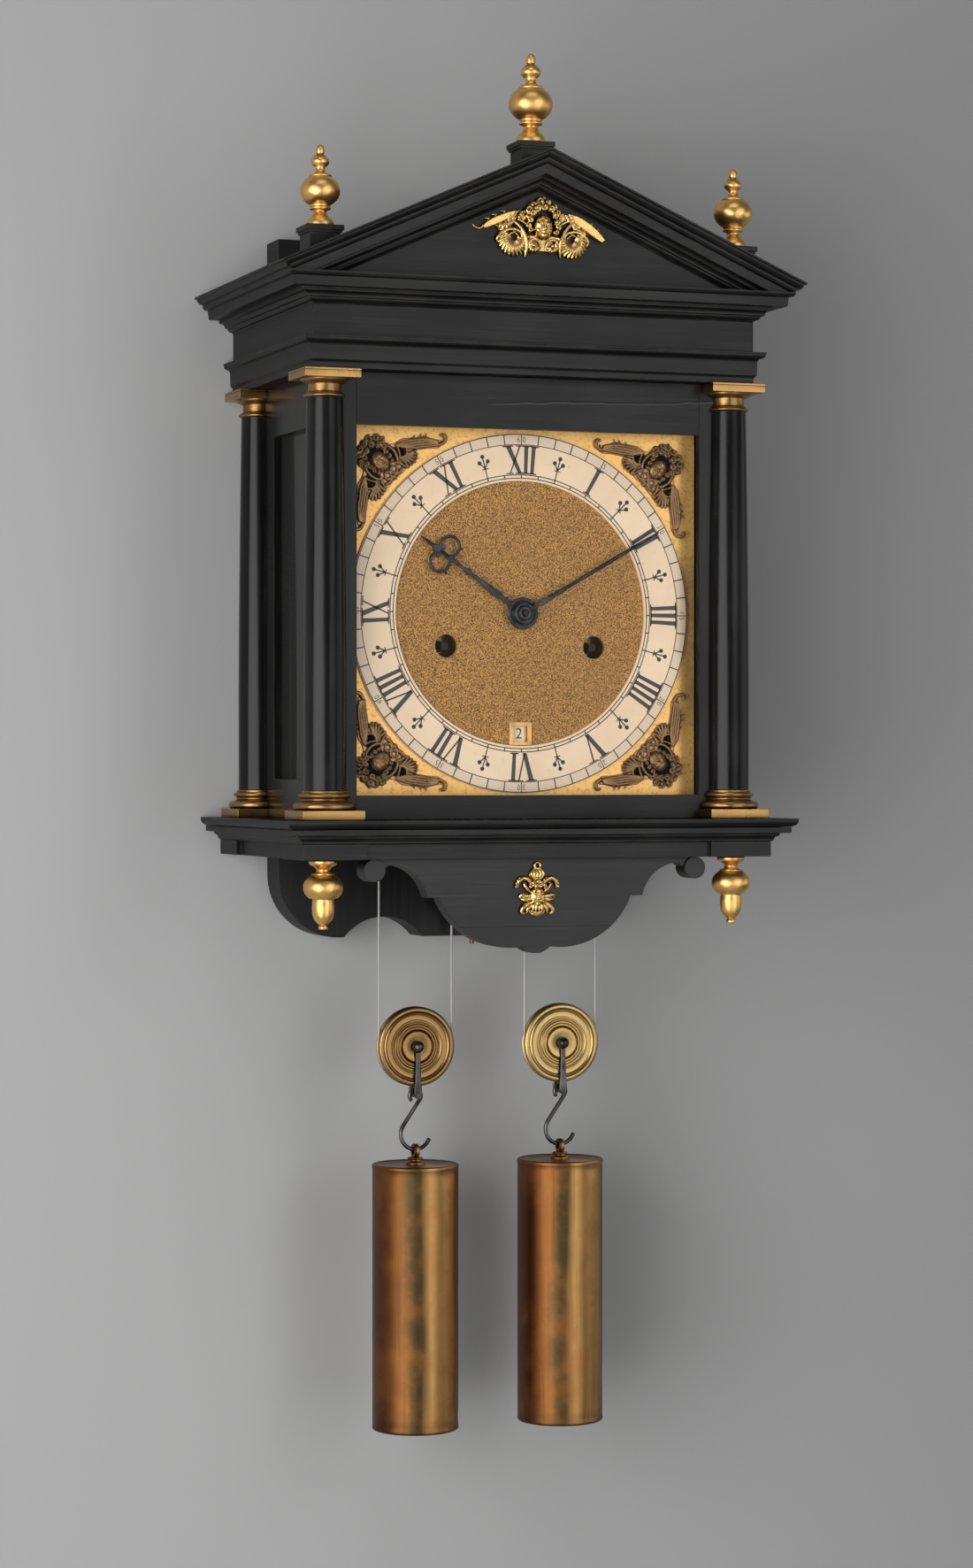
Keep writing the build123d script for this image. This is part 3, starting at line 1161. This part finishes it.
def barrel(name, centre):
    """Barrel on its arbor with the winding square, and the turns of line that are wound on it."""
    x, z = centre
    drum_r = BARREL_LINE_R - LINE_D / 2 - GAP
    body = rod(BARREL_ARBOR_R, PLATE_IN + 0.4, DRUM_FRONT, x, z)
    body += rod(drum_r, DRUM_FRONT, DRUM_BACK, x, z)
    body += rod(25.0, DRUM_FRONT, DRUM_FRONT + 1.6, x, z)
    body += rod(25.0, DRUM_BACK - 1.6, DRUM_BACK, x, z)
    body += rod(3.2, PLATE_FACE - 2, PLATE_IN + 0.4, x, z)
    body += rod(2.0, DRUM_BACK, BACK_PLATE_OUT + 0.5, x, z)
    half = 2.1
    body += block(x - half, x + half, DIAL_BACK + 0.6, PLATE_FACE - 2, z - half, z + half)
    wound_back = LINE_Y - LINE_D / 2 - GAP
    wound = rod(BARREL_LINE_R + LINE_D / 2, DRUM_FRONT + 1.6, wound_back, x, z)
    wound -= rod(drum_r, DRUM_FRONT + 1.6, wound_back, x, z)
    keep(name, body, wound)


def pin_group():
    """Pin wheel of the striking train on its arbor."""
    size, wheel_size = 2.1, 4.0
    pinion_y = STRIKE_GREAT_Y + (GREAT_WHEEL_T - PINION_L) / 2
    turn = meshing(0.0, GREAT_TEETH, PIN_LEAVES, STRIKE, PIN)
    shaft = arbor(
        PIN, 1.6, PLATE_IN + 0.4, BACK_PLATE_IN - 0.4, 1.0,
        [(pinion_y, pinion_y + PINION_L, size), (PIN_WHEEL_Y, PIN_WHEEL_Y + WHEEL_T, wheel_size)],
    )
    pinion = toothed(PIN_LEAVES, GREAT_MODULE, pinion_y, PINION_L, PIN, turn, size)
    wheel = toothed(PIN_TEETH, PIN_MODULE, PIN_WHEEL_Y, WHEEL_T, PIN, turn, wheel_size)
    pins = []
    for index in range(STRIKE_PINS):
        angle = turn + 2 * math.pi * index / STRIKE_PINS
        x, z = PIN[0] + 16 * math.cos(angle), PIN[1] + 16 * math.sin(angle)
        pins.append(rod(0.9, PIN_WHEEL_Y + WHEEL_T, PIN_WHEEL_Y + WHEEL_T + 7, x, z))
    keep("pin_wheel", shaft, pinion, wheel, *pins)
    return turn


def fly(pin_turn):
    """Fly that slows the striking, on its arbor."""
    size = 1.1
    pinion_y = PIN_WHEEL_Y + (WHEEL_T - PINION_L) / 2
    turn = meshing(pin_turn, PIN_TEETH, FLY_LEAVES, PIN, FLY)
    shaft = arbor(FLY, 1.0, PLATE_IN + 0.4, BACK_PLATE_IN - 0.4, 0.8, [(pinion_y, pinion_y + PINION_L, size)])
    vane_y = PIN_WHEEL_Y + 11
    shaft += block(FLY[0] - 14, FLY[0] + 14, vane_y, vane_y + 13, FLY[1] - 0.5, FLY[1] + 0.5)
    pinion = toothed(FLY_LEAVES, PIN_MODULE, pinion_y, PINION_L, FLY, turn, size)
    keep("fly", shaft, pinion)


def hammer(bell_y, mouth):
    """Hammer on its arbor, its tail beside the pins and its head beside the bell."""
    y, thick = PIN_WHEEL_Y + WHEEL_T + 2.6, 2.0
    head_x, head_z = -BELL_R - 4.0, mouth + 4
    elbow = (head_x - 22, head_z)
    shaft = arbor(HAMMER, 1.4, PLATE_IN + 0.4, BACK_PLATE_IN - 0.4, 1.0)
    tail = (HAMMER[0] + 6.5, HAMMER[1] - 10.7)
    for start, end, half in ((HAMMER, elbow, 1.6), (HAMMER, tail, 1.0)):
        dx, dz = end[0] - start[0], end[1] - start[1]
        span = math.hypot(dx, dz)
        nx, nz = -dz / span * half, dx / span * half
        bar = outline(
            (start[0] + nx, start[1] + nz), (end[0] + nx, end[1] + nz),
            (end[0] - nx, end[1] - nz), (start[0] - nx, start[1] - nz),
        )
        shaft += front_face(bar, y, y + thick)
    middle = Pos((elbow[0] + head_x) / 2, y + thick / 2, head_z)
    head = middle * Rot(0, 90, 0) * Cylinder(4.0, head_x - elbow[0] + 3)
    keep("hammer", shaft + head)


def line(side):
    """Weight line: from the barrel down, round the pulley and up to the seat board, as one tube."""
    middle = pulley_x(side)
    fixed_x = middle + PULLEY_LINE_R
    barrel_z, board_z = DIAL_Z - WINDING_DROP, PLATE_LOW - SEAT_T
    radius = LINE_D / 2
    runs = Pos(run_x(side), LINE_Y, (barrel_z + PULLEY_Z) / 2) * Cylinder(radius, barrel_z - PULLEY_Z)
    runs += Pos(fixed_x, LINE_Y, (board_z + PULLEY_Z) / 2) * Cylinder(radius, board_z - PULLEY_Z)
    bend = Pos(middle, LINE_Y, PULLEY_Z) * Rot(90, 0, 0) * Torus(PULLEY_LINE_R, radius)
    bend &= block(middle - 30, middle + 30, LINE_Y - 5, LINE_Y + 5, PULLEY_Z - 30, PULLEY_Z)
    return runs + bend


def pulley(side):
    """Grooved pulley with turned rings on its face."""
    x = pulley_x(side)
    front, back = LINE_Y - PULLEY_T / 2, LINE_Y + PULLEY_T / 2
    groove = LINE_D / 2 + 0.4
    bottom = PULLEY_LINE_R - LINE_D / 2 - GAP
    profile = [
        (5.0, front + 0.2), (5.6, front), (9.0, front), (9.6, front + 1.0), (13.6, front + 1.0),
        (14.2, front + 0.3), (15.4, front + 0.3), (16.0, front + 1.2), (20.4, front + 1.2), (21.2, front + 0.6),
        (PULLEY_R, front + 1.4), (PULLEY_R, LINE_Y - groove), (bottom, LINE_Y - groove),
        (bottom, LINE_Y + groove), (PULLEY_R, LINE_Y + groove), (PULLEY_R, back - 1.4), (20.4, back), (5.0, back),
    ]
    return front_turned(profile, x, PULLEY_Z) - rod(AXLE_R + RUN, front - 1, back + 1, x, PULLEY_Z)


def stirrup(side):
    """Stirrup: two straps joined by the pulley's axle and by the pin that carries the hook."""
    x = pulley_x(side)
    gap = PULLEY_T / 2 + GAP
    low = HOOK_PIN_Z - 2.0
    half = STIRRUP_W / 2
    axle = rod(AXLE_R, LINE_Y - gap - STIRRUP_T, LINE_Y + gap + STIRRUP_T, x, PULLEY_Z)
    pin = rod(HOOK_PIN_R, LINE_Y - gap - STIRRUP_T, LINE_Y + gap + STIRRUP_T, x, HOOK_PIN_Z)
    piece = axle + pin
    for face in (-1, 1):
        near, far = LINE_Y + face * gap, LINE_Y + face * (gap + STIRRUP_T)
        piece += block(x - half, x + half, near, far, low, PULLEY_Z)
        piece += rod(3.6, near, far, x, PULLEY_Z)
    ball = Pos(x, LINE_Y - gap - STIRRUP_T, PULLEY_Z) * Sphere(3.4)
    return piece + (ball & block(x - 5, x + 5, LINE_Y - gap - 8, LINE_Y - gap, PULLEY_Z - 5, PULLEY_Z + 5))


def hook(side):
    """S-hook bent from wire: top curl on the stirrup's pin, low curl through the weight's eye."""
    lean = math.asin((HOOK_TOP_R + HOOK_LOW_R) / HOOK_SPAN)
    across, up = math.cos(lean), math.sin(lean)
    top, low = (0.0, HOOK_TOP_Z), (0.0, HOOK_LOW_Z)
    leave = (top[0] + HOOK_TOP_R * across, top[1] - HOOK_TOP_R * up)
    meet = (low[0] - HOOK_LOW_R * across, low[1] + HOOK_LOW_R * up)
    free = math.radians(232)
    begin = (top[0] + HOOK_TOP_R * math.cos(free), top[1] + HOOK_TOP_R * math.sin(free))
    last = math.radians(-18)
    finish = (low[0] + HOOK_LOW_R * math.cos(last), low[1] + HOOK_LOW_R * math.sin(last))
    over = (top[0], top[1] + HOOK_TOP_R)
    under = (low[0], low[1] - HOOK_LOW_R)
    edges = [ThreePointArc(begin, over, leave), Line(leave, meet), ThreePointArc(meet, under, finish)]
    flat = Plane(origin=(pulley_x(side), LINE_Y, 0), x_dir=(1, 0, 0), z_dir=(0, -1, 0))
    path = flat * Wire(edges)
    start = path @ 0
    section = Plane(origin=start, z_dir=path % 0) * Circle(HOOK_WIRE_R)
    return sweep(section, path=path)


def weight(side):
    """Cased weight with a domed rim, a collar and an eye for the hook."""
    x = pulley_x(side)
    low = WEIGHT_TOP - WEIGHT_H
    body = turned(
        [(WEIGHT_R - 1.6, 0), (WEIGHT_R, 1.6), (WEIGHT_R, WEIGHT_H - 0.8), (WEIGHT_R - 0.8, WEIGHT_H)],
        x, LINE_Y, low,
    )
    eye = Pos(x, LINE_Y, EYE_Z) * Rot(0, 90, 0) * Cylinder(EYE_R, EYE_T)
    eye += block(x - EYE_T / 2, x + EYE_T / 2, LINE_Y - 2.4, LINE_Y + 2.4, WEIGHT_TOP + COLLAR_H, EYE_Z)
    eye += Pos(x, LINE_Y, WEIGHT_TOP + COLLAR_H / 2) * Cylinder(5.5, COLLAR_H)
    eye -= Pos(x, LINE_Y, EYE_Z) * Rot(0, 90, 0) * Cylinder(EYE_BORE_R, 3 * EYE_T)
    return [body, eye]


def build():
    """Make every piece."""
    backboard()
    hanging_hoop()
    base()
    base_blocks()
    keep("drop_pendants", *pair(drop))
    apron_mask(apron())
    seat_board()
    plates()
    dial_plate()
    chapter_ring()
    spandrels()
    pendulum_cock()
    bell_y, mouth = bell()
    hood_frame()
    keep("hood_sides", *pair(hood_side))
    keep("side_windows", *pair(side_window))
    architrave()
    frieze()
    cornice()
    pediment()
    keep("finials", *[finial(*place) for place in finial_places()])
    board_front = DOOR_FRONT - FRIEZE_P
    mount = winged_head(MOUNT_X, CORNICE_TOP + MOUNT_RISE, MOUNT_REACH, 0, board_front - 3, board_front)
    keep("pediment_mount", mount)
    rear_columns()
    door()
    pivot_sockets()
    centre_group()
    hour_group()
    minute_group()
    calendar_ring()
    escape_group(third_group())
    anchor()
    pendulum()
    going_turn = meshing(0.0, CENTRE_LEAVES, GREAT_TEETH, CENTRE, GOING)
    great_wheel("going_great_wheel", GOING, GOING_GREAT_Y, going_turn)
    great_wheel("strike_great_wheel", STRIKE, STRIKE_GREAT_Y, 0.0)
    barrel("going_barrel", GOING)
    barrel("strike_barrel", STRIKE)
    fly(pin_group())
    hammer(bell_y, mouth)
    for name, side in (("going", 1), ("strike", -1)):
        keep(name + "_line", line(side))
        keep(name + "_pulley", pulley(side))
        keep(name + "_stirrup", stirrup(side))
        keep(name + "_hook", hook(side))
        keep(name + "_weight", *weight(side))


def write():
    """Write one STEP file for each named piece."""
    os.makedirs("parts", exist_ok=True)
    for name, solids in nodes.items():
        shape = solids[0] if len(solids) == 1 else Compound(solids)
        export_step(shape, os.path.join("parts", name + ".step"))


build()
write()
hanging = 2 * PULLEY_BELOW_DIAL - PLATE_BELOW_DIAL - SEAT_T - WINDING_DROP
length = round(hanging + math.pi * PULLEY_LINE_R, 1)
print("nodes", len(nodes), "line length", length, "least radius", PULLEY_LINE_R)
